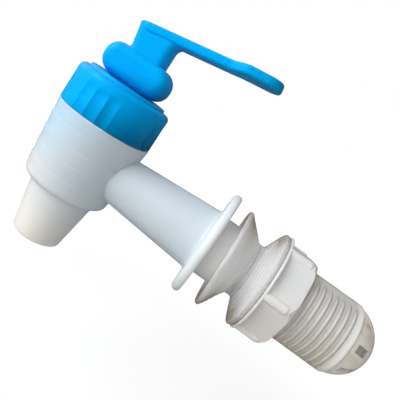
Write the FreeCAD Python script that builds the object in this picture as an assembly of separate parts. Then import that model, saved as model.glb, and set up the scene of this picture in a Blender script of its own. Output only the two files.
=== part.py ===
"""Lever tap for a jerrycan, screwed through the can's wall and closed by a spring.

Frame: the origin is the centre of the flange's seat face on the shank's axis. +X runs along the
shank into the can, +Z up the barrel to the lever, and the spout points down. Sizes in millimetres.
"""
import FreeCAD
import Part
import math
import os
from FreeCAD import Vector

# Clearances
RUNNING_CLEARANCE = 0.06
SEATED_GAP = 0.05
SCREWED_GAP = 0.1
PAST = 1.0

# Shank, flange and thread, along X
REACH = 40.0
INLET_ROOT_RADIUS = 5.8
INLET_FLANGE_RADIUS = 8.65
FLANGE_OVERHANG = 0.8
FLANGE_THICKNESS = 2.4
FLANGE_ROUND = 0.9
FLANGE_TUBE_SIDE_ROUND = 1.3
FLANGE_FILLET = 0.9
SHOULDER_RADIUS = 8.2
SHOULDER_LENGTH = 6.0
NECK_RADIUS = 6.6
NECK_LENGTH = 7.4
THREAD_LEAD_IN = 2.2
THREAD_PITCH_RADIUS = 9.9
SHANK_LENGTH = 40.0
INLET_BORE_RADIUS = 4.6
TAIL_WALL = 2.5
TAIL_BORE_DEPTH = 5.5
EDGE_ROUND = 0.3

# Barrel and spout, along Z
BARREL_TOP = 9.9
BARREL_TOP_RADIUS = 13.05
BARREL_TAPER = 1.6
LEDGE_COUNT = 4
FIRST_LEDGE_DROP = 3.7
LEDGE_SPACING = 3.95
LEDGE_WIDTH = 0.16
BARREL_FOOT = -10.6
BARREL_FOOT_ROUND = 2.0
SPOUT_STEP = 2.5
SPOUT_TIP_RADIUS = 6.5
SPOUT_LENGTH = 14.8
SPOUT_BORE_RADIUS = 4.7
SPOUT_ROOT_FILLET = 0.4
SPOUT_TIP_ROUND = 0.6
COLLAR_WALL = 1.45
COLLAR_HEIGHT = 5.1
CHAMBER_FLOOR = -9.3
SEAT_HEIGHT = 0.8
SEAT_WIDTH = 1.1

# Bonnet cap
CAP_STEP_IN = 0.05
CAP_DRAFT = 0.15
CAP_SHOULDER_HEIGHT = 10.3
CAP_SHOULDER_ROUND = 1.3
CAP_RIM_WIDTH = 2.3
CAP_WALL = 2.15
CAP_HEIGHT = 11.15
SPRING_POCKET_CLEARANCE = 0.5
SPRING_POCKET_HEIGHT = 8.9
GUIDE_BOSS_CLEARANCE = 0.3
GUIDE_BOSS_DROP = 2.3
GRIP_GROUPS = 4
GRIPS_PER_GROUP = 3
GRIP_SPACING_DEG = 14.2
GRIP_WIDTH = 2.3
GRIP_DEPTH = 0.4
GRIP_HEIGHT = 7.3

# Diaphragm plug
MEMBRANE_RIM_INSET = 0.25
MEMBRANE_RIM_THICKNESS = 1.25
MEMBRANE_CLEARANCE = 0.6
MEMBRANE_WALL = 0.95
PLUG_RADIUS = 6.1
PLUG_HEIGHT = 3.2
PLUG_FLOOR = 1.0
BUTTON_LIP = 0.95

# Valve stem
STEM_RADIUS = 2.9
BUTTON_RADIUS = 3.7
BUTTON_THICKNESS = 1.1
SPRING_SEAT_INSET = 1.35
SPRING_SEAT_THICKNESS = 1.2
SPRING_SEAT_RISE = 12.0
BLADE_HALF_WIDTH = 2.0
BLADE_THICKNESS = 3.0
STEM_TOP_BELOW_PIN = 6.1

# Return spring
SPRING_SEAT_RIM = 0.95
SPRING_WIRE_RADIUS = 0.45
SPRING_TURNS = 5.5

# Pivot pin
PIN_RADIUS = 1.0
PIN_LENGTH = 6.4

# Lever
FOOT_BACK = 9.1
FOOT_FRONT = 9.0
FOOT_HEIGHT = 8.2
LOBE_RADIUS = 3.8
FOOT_WIDTH = 10.2
FOOT_EDGE_ROUND = 2.4
FOOT_SLOT_HALF_LENGTH = 4.4
FOOT_SLOT_ABOVE_PIN = 2.7
FOOT_SLOT_CLEARANCE = 0.2
LEVER_NECK_BACK = 4.45
LEVER_NECK_BACK_TOP = 5.6
LEVER_NECK_FRONT = 5.1
LEVER_NECK_WIDTH = 7.4
LEVER_NECK_ROUND = 1.8
NECK_BELOW_ARM_TOP = 0.4
NECK_BACK_FILLET = 1.0
NECK_BACK_RISE = 0.5
NECK_FRONT_FILLET = 2.0
ARM_SLOPE_DEG = 9.8
ARM_TOP_AT_AXIS = 37.3
ARM_THICKNESS = 2.35
ARM_WIDTH = 8.0
ARM_BACK = 6.0
ARM_CORNER_ROUND = 3.0
ARM_EDGE_ROUND = 0.7
PADDLE_START = 19.0
PADDLE_FLARE = 4.0
PADDLE_END = 32.6
PADDLE_WIDTH = 12.2
PADDLE_END_WIDTH = 11.4
PADDLE_END_ROUND = 4.2
PADDLE_SHOULDER_ROUND = 3.0
PADDLE_RISE = 0.32
PADDLE_TIP_DROP = 0.15
PADDLE_BOW_START = 8.0
PADDLE_BOW_CROWN = 16.0

# Cone seals
SEAL_OVERHANG = 0.05
SEAL_COLLAR_LENGTH = 1.0
SEAL_COLLAR_WALL = 1.0
SEAL_WALL = 1.2
SEAL_LIP_ROUND = 0.5
SEALS_MEET = 10.7
OUTER_SEAL_FLARE = 4.6
INNER_SEAL_FLARE = 2.7

# Lock nut
NUT_WALL = 1.65
NUT_SIDES = 6
NUT_LENGTH = 8.6
NUT_FLANGE_STEP = 0.25
NUT_FLANGE_THICKNESS = 0.7
NUT_CORNER_ROUND = 1.0
NUT_RIB_RADIUS = 1.3
NUT_RIB_INSET = 1.05
NUT_RIB_LENGTH = 7.2
NUT_RIB_END_ROUND = 0.9
NUT_CHAMFER = 1.3
NUT_TURN_DEG = 3.4

# Strainer
DOME_INSET = 0.2
DOME_WALL = 1.0
DOME_CENTRE_DEPTH = 1.6
STRAINER_SKIRT_LENGTH = 4.8
STRAINER_SKIRT_WALL = 0.9
WINDOW_COUNT = 8
WINDOW_WIDTH = 2.2
WINDOW_START = 1.3
WINDOW_LENGTH = 3.6
WINDOW_INNER_RADIUS = 3.4
WINDOW_TURN_DEG = 15.0

# Places that several pieces share; a length is kept to this many digits where it has to be plain
LENGTH_DIGITS = 3
BARREL_FOOT_RADIUS = BARREL_TOP_RADIUS - BARREL_TAPER
CAP_RADIUS = BARREL_TOP_RADIUS - CAP_STEP_IN
CAP_SHOULDER_RADIUS = CAP_RADIUS - CAP_DRAFT
CAP_LAND_RADIUS = CAP_RADIUS - CAP_RIM_WIDTH
COLLAR_RADIUS = CAP_RADIUS - CAP_WALL
CHAMBER_RADIUS = COLLAR_RADIUS - COLLAR_WALL
MEMBRANE_RIM_RADIUS = COLLAR_RADIUS - MEMBRANE_RIM_INSET
MEMBRANE_TOP_RADIUS = CHAMBER_RADIUS - MEMBRANE_CLEARANCE
SPRING_SEAT_RADIUS = (PLUG_RADIUS + MEMBRANE_TOP_RADIUS) / 2 - SPRING_SEAT_INSET
SPRING_MEAN_RADIUS = round(SPRING_SEAT_RADIUS - SPRING_SEAT_RIM, LENGTH_DIGITS)
SPRING_POCKET_RADIUS = SPRING_SEAT_RADIUS + SPRING_POCKET_CLEARANCE
GUIDE_BOSS_RADIUS = SPRING_MEAN_RADIUS - SPRING_WIRE_RADIUS - GUIDE_BOSS_CLEARANCE
SPOUT_ROOT_RADIUS = BARREL_FOOT_RADIUS - SPOUT_STEP
TAIL_BORE_RADIUS = THREAD_PITCH_RADIUS - TAIL_WALL
DOME_RADIUS = THREAD_PITCH_RADIUS - DOME_INSET
NUT_ACROSS_FLATS = 2 * (THREAD_PITCH_RADIUS + SCREWED_GAP + NUT_WALL)
NUT_CORNER_RADIUS = NUT_ACROSS_FLATS / math.sqrt(3)
NUT_FLANGE_RADIUS = NUT_CORNER_RADIUS + NUT_FLANGE_STEP
SEAL_MOUTH_RADIUS = NUT_FLANGE_RADIUS + SEAL_OVERHANG
FLANGE_RADIUS = SEAL_MOUTH_RADIUS + FLANGE_OVERHANG
SPOUT_END = BARREL_FOOT - SPOUT_LENGTH
COLLAR_TOP = BARREL_TOP + COLLAR_HEIGHT
SEAT_TOP = CHAMBER_FLOOR + SEAT_HEIGHT
CAP_TOP = BARREL_TOP + CAP_HEIGHT
CAP_CLAMP = COLLAR_TOP + MEMBRANE_RIM_THICKNESS + 2 * SEATED_GAP
SPRING_CEILING = BARREL_TOP + SPRING_POCKET_HEIGHT
PLUG_BOTTOM = SEAT_TOP + SEATED_GAP
PLUG_TOP = PLUG_BOTTOM + PLUG_HEIGHT
BUTTON_BOTTOM = PLUG_BOTTOM + PLUG_FLOOR + SEATED_GAP
BUTTON_TOP = BUTTON_BOTTOM + BUTTON_THICKNESS
SPRING_SEAT_TOP = BUTTON_BOTTOM + SPRING_SEAT_RISE
PIN_HEIGHT = CAP_TOP + SCREWED_GAP + LOBE_RADIUS
STEM_TOP = PIN_HEIGHT - STEM_TOP_BELOW_PIN
THREAD_START = SHOULDER_LENGTH + NECK_LENGTH + THREAD_LEAD_IN
NUT_START = SEALS_MEET + SEAL_COLLAR_LENGTH + INNER_SEAL_FLARE + SEAL_WALL + 2 * SEATED_GAP

BARREL_AXIS = Vector(-REACH, 0, 0)
ALONG_X = Vector(1, 0, 0)
ALONG_Y = Vector(0, 1, 0)
ALONG_Z = Vector(0, 0, 1)
ORIGIN = Vector(0, 0, 0)


def on_barrel(radius, height):
    """A point of a section beside the barrel's axis."""
    return Vector(radius - REACH, 0, height)


def on_shank(along, radius):
    """A point of a section above the shank's axis."""
    return Vector(along, 0, radius)


def outline_face(points, place):
    """A flat face from corner points (a, b) or (a, b, round), each round drawn as a tangent arc."""
    corners = [(place(point[0], point[1]), point[2] if len(point) > 2 else 0.0) for point in points]
    count = len(corners)
    starts = []
    ends = []
    middles = []
    for index, (corner, size) in enumerate(corners):
        back = (corners[index - 1][0] - corner).normalize()
        ahead = (corners[(index + 1) % count][0] - corner).normalize()
        half = back.getAngle(ahead) / 2
        reach = size / math.tan(half) if size else 0.0
        starts.append(corner + back * reach)
        ends.append(corner + ahead * reach)
        if size:
            inward = (back + ahead).normalize()
            middles.append(corner + inward * (size / math.sin(half) - size))
        else:
            middles.append(None)
    edges = []
    for index in range(count):
        if middles[index] is not None:
            edges.append(Part.Arc(starts[index], middles[index], ends[index]).toShape())
        following = starts[(index + 1) % count]
        if ends[index].distanceToPoint(following) > Part.Precision.confusion():
            edges.append(Part.LineSegment(ends[index], following).toShape())
    return Part.Face(Part.Wire(edges))


def turned_on_barrel(points):
    """A solid turned about the barrel's axis from points (radius, height, round)."""
    return outline_face(points, on_barrel).revolve(BARREL_AXIS, ALONG_Z, 360)


def turned_on_shank(points):
    """A solid turned about the shank's axis from points (along, radius, round)."""
    return outline_face(points, on_shank).revolve(ORIGIN, ALONG_X, 360)


def barrel_side():
    """The barrel's tapered side, from its top down over the small upward ledges."""
    side_height = BARREL_TOP - BARREL_FOOT
    slope = (BARREL_TAPER + LEDGE_COUNT * LEDGE_WIDTH) / side_height
    points = [(BARREL_TOP_RADIUS, BARREL_TOP, EDGE_ROUND)]
    for index in range(LEDGE_COUNT):
        drop = FIRST_LEDGE_DROP + index * LEDGE_SPACING
        radius = BARREL_TOP_RADIUS - slope * drop + index * LEDGE_WIDTH
        points.append((radius, BARREL_TOP - drop))
        points.append((radius + LEDGE_WIDTH, BARREL_TOP - drop))
    points.append((BARREL_FOOT_RADIUS, BARREL_FOOT, BARREL_FOOT_ROUND))
    return points


def barrel_blank():
    """The barrel, its collar and the spout as one turned solid."""
    points = [(0, COLLAR_TOP), (COLLAR_RADIUS, COLLAR_TOP, EDGE_ROUND), (COLLAR_RADIUS, BARREL_TOP)]
    points += barrel_side()
    points += [
        (SPOUT_ROOT_RADIUS, BARREL_FOOT, SPOUT_ROOT_FILLET),
        (SPOUT_TIP_RADIUS, SPOUT_END, SPOUT_TIP_ROUND),
        (0, SPOUT_END),
    ]
    return turned_on_barrel(points)


def shank_blank():
    """The inlet tube, the flange and the shank that passes through the wall."""
    return turned_on_shank([
        (-REACH, 0),
        (-REACH, INLET_ROOT_RADIUS),
        (-FLANGE_THICKNESS, INLET_FLANGE_RADIUS, FLANGE_FILLET),
        (-FLANGE_THICKNESS, FLANGE_RADIUS, FLANGE_TUBE_SIDE_ROUND),
        (0, FLANGE_RADIUS, FLANGE_ROUND),
        (0, SHOULDER_RADIUS, EDGE_ROUND),
        (SHOULDER_LENGTH, SHOULDER_RADIUS, EDGE_ROUND),
        (SHOULDER_LENGTH, NECK_RADIUS),
        (SHOULDER_LENGTH + NECK_LENGTH, NECK_RADIUS),
        (THREAD_START, THREAD_PITCH_RADIUS),
        (SHANK_LENGTH, THREAD_PITCH_RADIUS, EDGE_ROUND),
        (SHANK_LENGTH, 0),
    ])


def tap_body():
    """The moulded body: barrel, spout, inlet tube, flange and shank, with the water's way through."""
    chamber = turned_on_barrel([
        (0, SPOUT_END - PAST),
        (SPOUT_BORE_RADIUS, SPOUT_END - PAST),
        (SPOUT_BORE_RADIUS, SEAT_TOP),
        (SPOUT_BORE_RADIUS + SEAT_WIDTH, SEAT_TOP),
        (SPOUT_BORE_RADIUS + SEAT_WIDTH, CHAMBER_FLOOR),
        (CHAMBER_RADIUS, CHAMBER_FLOOR, SPOUT_TIP_ROUND),
        (CHAMBER_RADIUS, COLLAR_TOP + PAST),
        (0, COLLAR_TOP + PAST),
    ])
    inlet = turned_on_shank([
        (-REACH, 0),
        (-REACH, INLET_BORE_RADIUS),
        (SHANK_LENGTH - TAIL_BORE_DEPTH, INLET_BORE_RADIUS),
        (SHANK_LENGTH - TAIL_BORE_DEPTH, TAIL_BORE_RADIUS),
        (SHANK_LENGTH + PAST, TAIL_BORE_RADIUS),
        (SHANK_LENGTH + PAST, 0),
    ])
    return barrel_blank().fuse(shank_blank()).cut(chamber).cut(inlet).removeSplitter()


def grip_recess(angle):
    """One flat-bottomed recess in the cap's side, open at its lower edge."""
    floor = CAP_RADIUS - GRIP_DEPTH
    recess = Part.makeBox(
        GRIP_DEPTH + PAST, GRIP_WIDTH, GRIP_HEIGHT + PAST,
        Vector(floor - REACH, -GRIP_WIDTH / 2, BARREL_TOP + SEATED_GAP - PAST),
    )
    recess.rotate(BARREL_AXIS, ALONG_Z, angle)
    return recess


def bonnet_cap():
    """The screwed bonnet: grip recesses outside, spring pocket and stem guide inside."""
    bottom = BARREL_TOP + SEATED_GAP
    shoulder = BARREL_TOP + CAP_SHOULDER_HEIGHT
    guide = STEM_RADIUS + RUNNING_CLEARANCE
    cap = turned_on_barrel([
        (COLLAR_RADIUS + SCREWED_GAP, bottom),
        (CAP_RADIUS, bottom, EDGE_ROUND),
        (CAP_SHOULDER_RADIUS, shoulder, CAP_SHOULDER_ROUND),
        (CAP_LAND_RADIUS, shoulder, EDGE_ROUND),
        (CAP_LAND_RADIUS, CAP_TOP, EDGE_ROUND),
        (guide, CAP_TOP),
        (guide, SPRING_CEILING - GUIDE_BOSS_DROP),
        (GUIDE_BOSS_RADIUS, SPRING_CEILING - GUIDE_BOSS_DROP),
        (GUIDE_BOSS_RADIUS, SPRING_CEILING),
        (SPRING_POCKET_RADIUS, SPRING_CEILING),
        (SPRING_POCKET_RADIUS, CAP_CLAMP),
        (COLLAR_RADIUS + SCREWED_GAP, CAP_CLAMP),
    ])
    recesses = []
    for group in range(GRIP_GROUPS):
        centre = 360 / GRIP_GROUPS * group
        for index in range(GRIPS_PER_GROUP):
            offset = (index - (GRIPS_PER_GROUP - 1) / 2) * GRIP_SPACING_DEG
            recesses.append(grip_recess(centre + offset))
    return cap.cut(recesses)


def diaphragm_plug():
    """The silicone plug on the seat, with a thin bell up to the rim that the bonnet clamps."""
    rim_bottom = COLLAR_TOP + SEATED_GAP
    rim_top = rim_bottom + MEMBRANE_RIM_THICKNESS
    bell_floor = PLUG_TOP
    return turned_on_barrel([
        (0, PLUG_BOTTOM),
        (PLUG_RADIUS, PLUG_BOTTOM, EDGE_ROUND),
        (PLUG_RADIUS + EDGE_ROUND, PLUG_TOP),
        (MEMBRANE_TOP_RADIUS, rim_bottom, EDGE_ROUND),
        (MEMBRANE_RIM_RADIUS, rim_bottom, EDGE_ROUND),
        (MEMBRANE_RIM_RADIUS, rim_top, EDGE_ROUND),
        (MEMBRANE_TOP_RADIUS - MEMBRANE_WALL, rim_top),
        (PLUG_RADIUS + EDGE_ROUND - MEMBRANE_WALL, bell_floor),
        (STEM_RADIUS + SEATED_GAP, bell_floor),
        (STEM_RADIUS + SEATED_GAP, BUTTON_TOP + SEATED_GAP),
        (BUTTON_RADIUS + SEATED_GAP, BUTTON_TOP + SEATED_GAP),
        (BUTTON_RADIUS + SEATED_GAP, BUTTON_BOTTOM - SEATED_GAP),
        (0, BUTTON_BOTTOM - SEATED_GAP),
    ])


def valve_stem():
    """The stem: a button for the plug, the spring's seat, the guided shaft and the lever's blade."""
    shaft = turned_on_barrel([
        (0, BUTTON_BOTTOM),
        (BUTTON_RADIUS, BUTTON_BOTTOM),
        (BUTTON_RADIUS, BUTTON_TOP),
        (STEM_RADIUS, BUTTON_TOP),
        (STEM_RADIUS, SPRING_SEAT_TOP - SPRING_SEAT_THICKNESS),
        (SPRING_SEAT_RADIUS, SPRING_SEAT_TOP - SPRING_SEAT_THICKNESS),
        (SPRING_SEAT_RADIUS, SPRING_SEAT_TOP),
        (STEM_RADIUS, SPRING_SEAT_TOP),
        (STEM_RADIUS, STEM_TOP),
        (0, STEM_TOP),
    ])
    blade = Part.makeBox(
        2 * BLADE_HALF_WIDTH, BLADE_THICKNESS, PIN_HEIGHT - STEM_TOP + PAST,
        Vector(-REACH - BLADE_HALF_WIDTH, -BLADE_THICKNESS / 2, STEM_TOP - PAST),
    )
    eye = Part.makeCylinder(
        BLADE_HALF_WIDTH, BLADE_THICKNESS, Vector(-REACH, -BLADE_THICKNESS / 2, PIN_HEIGHT), ALONG_Y,
    )
    return shaft.fuse([blade, eye]).cut(pivot_pin()).removeSplitter()


def pivot_pin():
    """The cross pin, pressed through the stem and turning in the lever's foot."""
    start = Vector(-REACH, -PIN_LENGTH / 2, PIN_HEIGHT)
    return Part.makeCylinder(PIN_RADIUS, PIN_LENGTH, start, ALONG_Y)


def return_spring():
    """The coil spring between the stem's seat and the bonnet's pocket."""
    lowest = SPRING_SEAT_TOP + SEATED_GAP + SPRING_WIRE_RADIUS
    highest = SPRING_CEILING - SEATED_GAP - SPRING_WIRE_RADIUS
    height = highest - lowest
    helix = Part.makeHelix(height / SPRING_TURNS, height, SPRING_MEAN_RADIUS)
    start = Vector(SPRING_MEAN_RADIUS, 0, 0)
    section = Part.Wire(Part.makeCircle(SPRING_WIRE_RADIUS, start, ALONG_Y))
    spring = Part.Wire(helix.Edges).makePipeShell([section], True, True)
    spring.translate(Vector(-REACH, 0, lowest))
    return spring


def side_edges(slab, width):
    """The edges round the two flat side faces of a slab."""
    edges = []
    for face in slab.Faces:
        if abs(abs(face.CenterOfMass.y) - width / 2) < SEATED_GAP:
            edges += face.OuterWire.Edges
    return edges


def lever_slab(points, width):
    """A slab of the lever from side points (along, height, round), centred on the barrel's axis."""
    def on_side(along, height):
        return Vector(along - REACH, -width / 2, height)

    return outline_face(points, on_side).extrude(ALONG_Y * width)


def arm_top(along):
    """The height of the arm's upper face at a distance from the barrel's axis."""
    return ARM_TOP_AT_AXIS + along * math.tan(math.radians(ARM_SLOPE_DEG))


def lever_foot():
    """The rocking foot with its two lobes."""
    bottom = PIN_HEIGHT - LOBE_RADIUS
    top = bottom + FOOT_HEIGHT
    slab = lever_slab([
        (-FOOT_BACK, bottom, LOBE_RADIUS),
        (FOOT_FRONT, bottom, LOBE_RADIUS),
        (FOOT_FRONT, top, LOBE_RADIUS),
        (-FOOT_BACK, top, LOBE_RADIUS),
    ], FOOT_WIDTH)
    return slab.makeFillet(FOOT_EDGE_ROUND, side_edges(slab, FOOT_WIDTH))


def lever_neck():
    """The neck from the foot into the arm, with its fillet below the arm and round corners."""
    base = PIN_HEIGHT
    top = PIN_HEIGHT - LOBE_RADIUS + FOOT_HEIGHT
    drop = ARM_THICKNESS / math.cos(math.radians(ARM_SLOPE_DEG))
    front = LEVER_NECK_FRONT + NECK_FRONT_FILLET + ARM_EDGE_ROUND
    back_foot = LEVER_NECK_BACK + NECK_BACK_FILLET
    slab = lever_slab([
        (-LEVER_NECK_BACK, base),
        (LEVER_NECK_FRONT, base),
        (LEVER_NECK_FRONT, arm_top(LEVER_NECK_FRONT) - drop, NECK_FRONT_FILLET),
        (front, arm_top(front) - drop),
        (front, arm_top(front) - NECK_BELOW_ARM_TOP),
        (-LEVER_NECK_BACK_TOP, arm_top(-LEVER_NECK_BACK_TOP) - NECK_BELOW_ARM_TOP),
        (-LEVER_NECK_BACK, top + NECK_BACK_RISE, NECK_BACK_FILLET),
        (-back_foot, top - NECK_BACK_RISE),
    ], LEVER_NECK_WIDTH)
    corners = [
        edge for edge in side_edges(slab, LEVER_NECK_WIDTH)
        if base + LOBE_RADIUS < edge.CenterOfMass.z < arm_top(front) - drop
    ]
    return slab.makeFillet(LEVER_NECK_ROUND, corners)


def arm_plan():
    """The arm from above, widening into the thumb paddle, as a tall block."""
    side = [
        (-ARM_BACK, ARM_WIDTH / 2, ARM_CORNER_ROUND),
        (PADDLE_START, ARM_WIDTH / 2, PADDLE_SHOULDER_ROUND),
        (PADDLE_START + PADDLE_FLARE, PADDLE_WIDTH / 2, PADDLE_SHOULDER_ROUND),
        (PADDLE_END, PADDLE_END_WIDTH / 2, PADDLE_END_ROUND),
    ]
    other_side = [(along, -across, turn) for along, across, turn in reversed(side)]
    below = ARM_THICKNESS + PAST
    plan = outline_face(side + other_side, lambda along, across: Vector(along, across, -below))
    return plan.extrude(ALONG_Z * (below + PADDLE_RISE + PAST))


def arm_side():
    """The arm from the side, level, its paddle slightly bowed, as a wide block."""
    top = [
        (-ARM_BACK - PAST, 0),
        (PADDLE_START, 0, PADDLE_BOW_START),
        (PADDLE_START + PADDLE_FLARE, PADDLE_RISE, PADDLE_BOW_CROWN),
        (PADDLE_END + PAST, -PADDLE_TIP_DROP),
    ]
    underside = [(point[0], point[1] - ARM_THICKNESS) + point[2:] for point in reversed(top)]
    side = outline_face(top + underside, lambda along, up: Vector(along, -PADDLE_WIDTH, up))
    return side.extrude(ALONG_Y * 2 * PADDLE_WIDTH)


def lever_arm():
    """The sloping arm with its thumb paddle, rounded along its edges."""
    plate = arm_plan().common(arm_side())
    rims = [edge for edge in plate.Edges if edge.BoundBox.ZLength < ARM_THICKNESS - ARM_EDGE_ROUND]
    plate = plate.makeFillet(ARM_EDGE_ROUND, rims)
    plate.rotate(ORIGIN, ALONG_Y, -ARM_SLOPE_DEG)
    plate.translate(Vector(-REACH, 0, ARM_TOP_AT_AXIS))
    return plate


def foot_slot():
    """The slot in the foot's underside where the stem's blade and the pin sit."""
    half_width = BLADE_THICKNESS / 2 + FOOT_SLOT_CLEARANCE
    below = LOBE_RADIUS + PAST
    opening = Part.makeBox(
        2 * FOOT_SLOT_HALF_LENGTH, 2 * half_width, below,
        Vector(-REACH - FOOT_SLOT_HALF_LENGTH, -half_width, PIN_HEIGHT - below),
    )
    crown = Part.makeCylinder(
        FOOT_SLOT_ABOVE_PIN, 2 * half_width, Vector(-REACH, -half_width, PIN_HEIGHT), ALONG_Y,
    )
    socket_length = PIN_LENGTH + 2 * FOOT_SLOT_CLEARANCE
    sockets = Part.makeCylinder(
        PIN_RADIUS + RUNNING_CLEARANCE, socket_length,
        Vector(-REACH, -socket_length / 2, PIN_HEIGHT), ALONG_Y,
    )
    return opening.fuse([crown, sockets])


def lever():
    """The lever: rocking foot, neck and arm in one moulding."""
    whole = lever_foot().fuse([lever_neck(), lever_arm()])
    return whole.cut(foot_slot()).removeSplitter()


def cone_seal(flare, direction):
    """A flared silicone seal from its small end at SEALS_MEET, opening along the direction in X."""
    bore = NECK_RADIUS + SEATED_GAP
    collar = bore + SEAL_COLLAR_WALL
    lip = SEAL_COLLAR_LENGTH + flare + SEAL_WALL
    points = [
        (0, bore),
        (0, collar, EDGE_ROUND),
        (SEAL_COLLAR_LENGTH, collar, EDGE_ROUND),
        (SEAL_COLLAR_LENGTH + flare, SEAL_MOUTH_RADIUS, SEAL_LIP_ROUND),
        (lip, SEAL_MOUTH_RADIUS - SEAL_LIP_ROUND, SEAL_LIP_ROUND),
        (SEAL_COLLAR_LENGTH + SEAL_WALL, bore),
    ]
    start = SEALS_MEET + direction * SEATED_GAP
    return turned_on_shank([(start + direction * point[0],) + point[1:] for point in points])


def nut_rib(turn):
    """The low rounded rib along the nut's corner at a turn in degrees."""
    rib = Part.makeCylinder(
        NUT_RIB_RADIUS, NUT_RIB_LENGTH,
        Vector(0, NUT_RIB_INSET - NUT_CORNER_RADIUS, 0), ALONG_X,
    )
    far_end = [edge for edge in rib.Edges if edge.BoundBox.XMin > NUT_RIB_LENGTH / 2]
    rib = rib.makeFillet(NUT_RIB_END_ROUND, far_end)
    rib.rotate(ORIGIN, ALONG_X, turn)
    return rib


def lock_nut():
    """The flanged hexagon nut, ribbed along its corners and chamfered at its outer end."""
    corner = NUT_CORNER_RADIUS
    length = NUT_LENGTH
    turns = [360 / NUT_SIDES * index for index in range(NUT_SIDES)]
    corners = [FreeCAD.Rotation(ALONG_X, turn).multVec(Vector(0, -corner, 0)) for turn in turns]
    hexagon = Part.Face(Part.makePolygon(corners + corners[:1])).extrude(ALONG_X * length)
    long_edges = [edge for edge in hexagon.Edges if edge.BoundBox.XLength > length / 2]
    hexagon = hexagon.makeFillet(NUT_CORNER_ROUND, long_edges)
    chamfer = turned_on_shank([
        (-PAST, 0),
        (-PAST, corner + PAST),
        (length - NUT_CHAMFER, corner + PAST),
        (length - NUT_CHAMFER, corner),
        (length, corner - NUT_CHAMFER),
        (length, 0),
    ])
    flange = turned_on_shank([
        (0, 0),
        (0, NUT_FLANGE_RADIUS, EDGE_ROUND),
        (NUT_FLANGE_THICKNESS, NUT_FLANGE_RADIUS, EDGE_ROUND),
        (NUT_FLANGE_THICKNESS, 0),
    ])
    bore = Part.makeCylinder(
        THREAD_PITCH_RADIUS + SCREWED_GAP, length + 2 * PAST, Vector(-PAST, 0, 0), ALONG_X,
    )
    ribs = [nut_rib(turn) for turn in turns]
    nut = hexagon.common(chamfer).fuse([flange] + ribs).cut(bore).removeSplitter()
    nut.rotate(ORIGIN, ALONG_X, -NUT_TURN_DEG)
    nut.translate(ALONG_X * NUT_START)
    return nut


def strainer():
    """The slotted dome over the inlet, with the skirt that holds it in the shank's end."""
    seat = SHANK_LENGTH + SEATED_GAP
    centre = Vector(SHANK_LENGTH - DOME_CENTRE_DEPTH, 0, 0)
    skirt = TAIL_BORE_RADIUS - SEATED_GAP
    shell = Part.makeSphere(DOME_RADIUS, centre).cut(Part.makeSphere(DOME_RADIUS - DOME_WALL, centre))
    beyond = Part.makeBox(
        2 * DOME_RADIUS, 2 * DOME_RADIUS, 2 * DOME_RADIUS, Vector(seat, -DOME_RADIUS, -DOME_RADIUS),
    )
    holder = turned_on_shank([
        (seat - STRAINER_SKIRT_LENGTH, skirt - STRAINER_SKIRT_WALL),
        (seat - STRAINER_SKIRT_LENGTH, skirt),
        (seat, skirt),
        (seat, DOME_RADIUS - DOME_WALL),
        (seat + DOME_WALL, DOME_RADIUS - DOME_WALL),
        (seat + DOME_WALL, skirt - STRAINER_SKIRT_WALL),
    ])
    windows = []
    for index in range(WINDOW_COUNT):
        window = Part.makeBox(
            WINDOW_LENGTH, DOME_RADIUS, WINDOW_WIDTH,
            Vector(seat + WINDOW_START, -WINDOW_INNER_RADIUS - DOME_RADIUS, -WINDOW_WIDTH / 2),
        )
        window.rotate(ORIGIN, ALONG_X, -WINDOW_TURN_DEG - 360 / WINDOW_COUNT * index)
        windows.append(window)
    return shell.common(beyond).fuse(holder).cut(windows).removeSplitter()


def build():
    """Make every piece and write one STEP file for each."""
    pieces = {
        "tap_body": tap_body(),
        "bonnet_cap": bonnet_cap(),
        "diaphragm_plug": diaphragm_plug(),
        "valve_stem": valve_stem(),
        "return_spring": return_spring(),
        "pivot_pin": pivot_pin(),
        "lever": lever(),
        "outer_cone_seal": cone_seal(OUTER_SEAL_FLARE, -1),
        "inner_cone_seal": cone_seal(INNER_SEAL_FLARE, 1),
        "lock_nut": lock_nut(),
        "strainer": strainer(),
    }
    os.makedirs("parts", exist_ok=True)
    for name, shape in pieces.items():
        shape.exportStep(f"parts/{name}.step")
        print(name, shape.isValid(), len(shape.Solids), round(shape.Volume, 1), len(shape.Faces))


build()
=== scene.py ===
"""Looks of the jerrycan tap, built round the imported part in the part's own frame.

Sizes are in millimetres until a mesh is filled, which turns them into metres. The shank runs along X,
the barrel stands along Z at X = -40, and the origin is the centre of the flange's seat.
"""

import logging
import math
from dataclasses import dataclass, field
from enum import Enum

import bmesh
import bpy
import numpy as np
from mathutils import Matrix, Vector

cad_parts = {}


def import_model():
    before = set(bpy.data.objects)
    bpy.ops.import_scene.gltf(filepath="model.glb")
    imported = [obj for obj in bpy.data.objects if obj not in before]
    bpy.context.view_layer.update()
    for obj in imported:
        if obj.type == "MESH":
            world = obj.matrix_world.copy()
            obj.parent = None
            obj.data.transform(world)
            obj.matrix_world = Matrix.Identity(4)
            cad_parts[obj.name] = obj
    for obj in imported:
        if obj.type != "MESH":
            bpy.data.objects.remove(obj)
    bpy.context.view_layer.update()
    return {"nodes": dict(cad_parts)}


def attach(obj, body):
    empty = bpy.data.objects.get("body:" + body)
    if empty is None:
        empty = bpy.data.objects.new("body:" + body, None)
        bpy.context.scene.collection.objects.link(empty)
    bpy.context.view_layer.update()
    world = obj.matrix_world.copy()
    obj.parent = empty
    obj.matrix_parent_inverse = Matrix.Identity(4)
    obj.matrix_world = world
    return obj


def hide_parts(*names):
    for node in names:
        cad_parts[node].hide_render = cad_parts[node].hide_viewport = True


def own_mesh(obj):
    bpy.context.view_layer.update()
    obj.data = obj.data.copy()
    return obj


LOG = logging.getLogger("tap")
MM = 0.001
TURN = 2.0 * math.pi
BARREL_X = -40.0
CREASE_DEG = 40.0
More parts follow.
